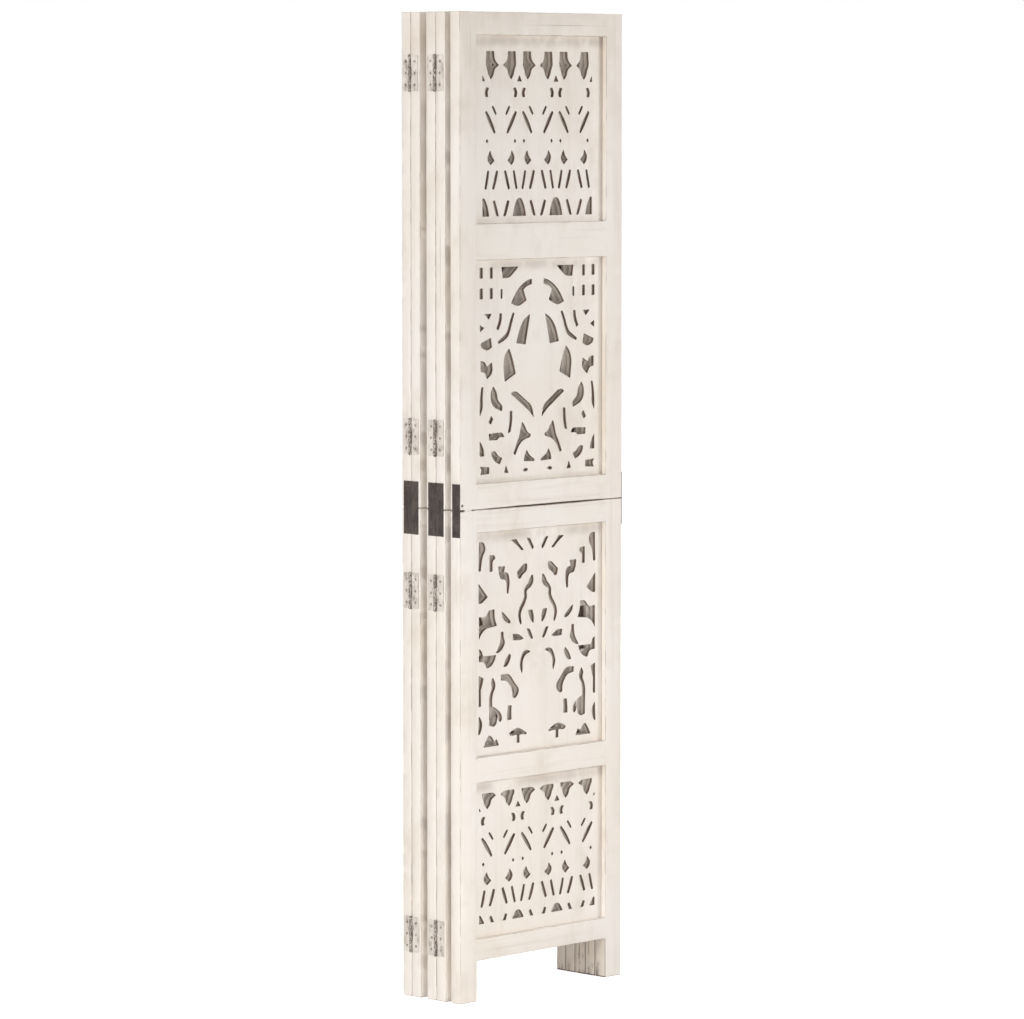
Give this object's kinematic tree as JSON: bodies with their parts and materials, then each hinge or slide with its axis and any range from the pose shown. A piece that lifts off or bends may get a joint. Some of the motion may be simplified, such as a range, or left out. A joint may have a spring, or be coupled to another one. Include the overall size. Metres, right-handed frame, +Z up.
{
  "type": "folding screen",
  "caption": "Whitewashed folding wooden screen: hinged tall panels with carved openwork fields between plain rails, standing on the ends of its stiles, shown folded.",
  "frame": {"origin": "on the floor, in the middle of the folded stack's box", "axes": "+X across the front panel from the viewer's left to right, +Y from the front panel to the back panel, +Z up"},
  "size_m": [0.4118, 0.1386, 1.65],
  "materials": {
    "whitewashed_wood": "matt whitewash, rubbed through at the edges",
    "carved_wood": "matt whitewash over a carved face, bare brown wood in the piercings",
    "dark_steel": "satin black steel plate",
    "painted_hinge": "steel hinge painted over with the whitewash"
  },
  "bodies": {
    "panel_1": {"panel_1_upper_stiles": "whitewashed_wood", "panel_1_lower_stiles": "whitewashed_wood", "panel_1_upper_rails": "whitewashed_wood", "panel_1_lower_rails": "whitewashed_wood", "panel_1_top_carving": "carved_wood", "panel_1_upper_carving": "carved_wood", "panel_1_lower_carving": "carved_wood", "panel_1_bottom_carving": "carved_wood", "panel_1_joining_plates": "dark_steel", "panel_1_hinge_leaves": "painted_hinge"},
    "panel_2": {"panel_2_upper_stiles": "whitewashed_wood", "panel_2_lower_stiles": "whitewashed_wood", "panel_2_upper_rails": "whitewashed_wood", "panel_2_lower_rails": "whitewashed_wood", "panel_2_top_carving": "carved_wood", "panel_2_upper_carving": "carved_wood", "panel_2_lower_carving": "carved_wood", "panel_2_bottom_carving": "carved_wood", "panel_2_joining_plates": "dark_steel", "panel_2_hinge_leaves": "painted_hinge", "hinge_12_pins": "painted_hinge"},
    "panel_3": {"panel_3_upper_stiles": "whitewashed_wood", "panel_3_lower_stiles": "whitewashed_wood", "panel_3_upper_rails": "whitewashed_wood", "panel_3_lower_rails": "whitewashed_wood", "panel_3_top_carving": "carved_wood", "panel_3_upper_carving": "carved_wood", "panel_3_lower_carving": "carved_wood", "panel_3_bottom_carving": "carved_wood", "panel_3_joining_plates": "dark_steel", "panel_3_hinge_leaves": "painted_hinge", "hinge_23_pins": "painted_hinge", "hinge_34_pins": "painted_hinge"},
    "panel_4": {"panel_4_upper_stiles": "whitewashed_wood", "panel_4_lower_stiles": "whitewashed_wood", "panel_4_upper_rails": "whitewashed_wood", "panel_4_lower_rails": "whitewashed_wood", "panel_4_top_carving": "carved_wood", "panel_4_upper_carving": "carved_wood", "panel_4_lower_carving": "carved_wood", "panel_4_bottom_carving": "carved_wood", "panel_4_joining_plates": "dark_steel", "panel_4_hinge_leaves": "painted_hinge", "hinge_45_pins": "painted_hinge"},
    "panel_5": {"panel_5_upper_stiles": "whitewashed_wood", "panel_5_lower_stiles": "whitewashed_wood", "panel_5_upper_rails": "whitewashed_wood", "panel_5_lower_rails": "whitewashed_wood", "panel_5_top_carving": "carved_wood", "panel_5_upper_carving": "carved_wood", "panel_5_lower_carving": "carved_wood", "panel_5_bottom_carving": "carved_wood", "panel_5_joining_plates": "dark_steel", "panel_5_hinge_leaves": "painted_hinge"}
  },
  "joints": [
    {"name": "hinge_23", "type": "hinge", "parent": "panel_3", "child": "panel_2", "pos_m": [-0.20326, -0.01313, 0.8255], "axis": [0, 0, -1], "range_deg": [0, 140]},
    {"name": "hinge_12", "type": "hinge", "parent": "panel_2", "child": "panel_1", "pos_m": [0.202, -0.04675, 0.8255], "axis": [0, 0, 1], "range_deg": [-1.5, 138.5]},
    {"name": "hinge_34", "type": "hinge", "parent": "panel_3", "child": "panel_4", "pos_m": [0.20321, -0.00077, 0.8255], "axis": [0, 0, -1], "range_deg": [-2, 138]},
    {"name": "hinge_45", "type": "hinge", "parent": "panel_4", "child": "panel_5", "pos_m": [-0.20063, 0.04698, 0.8255], "axis": [0, 0, 1], "range_deg": [0, 140]}
  ]
}
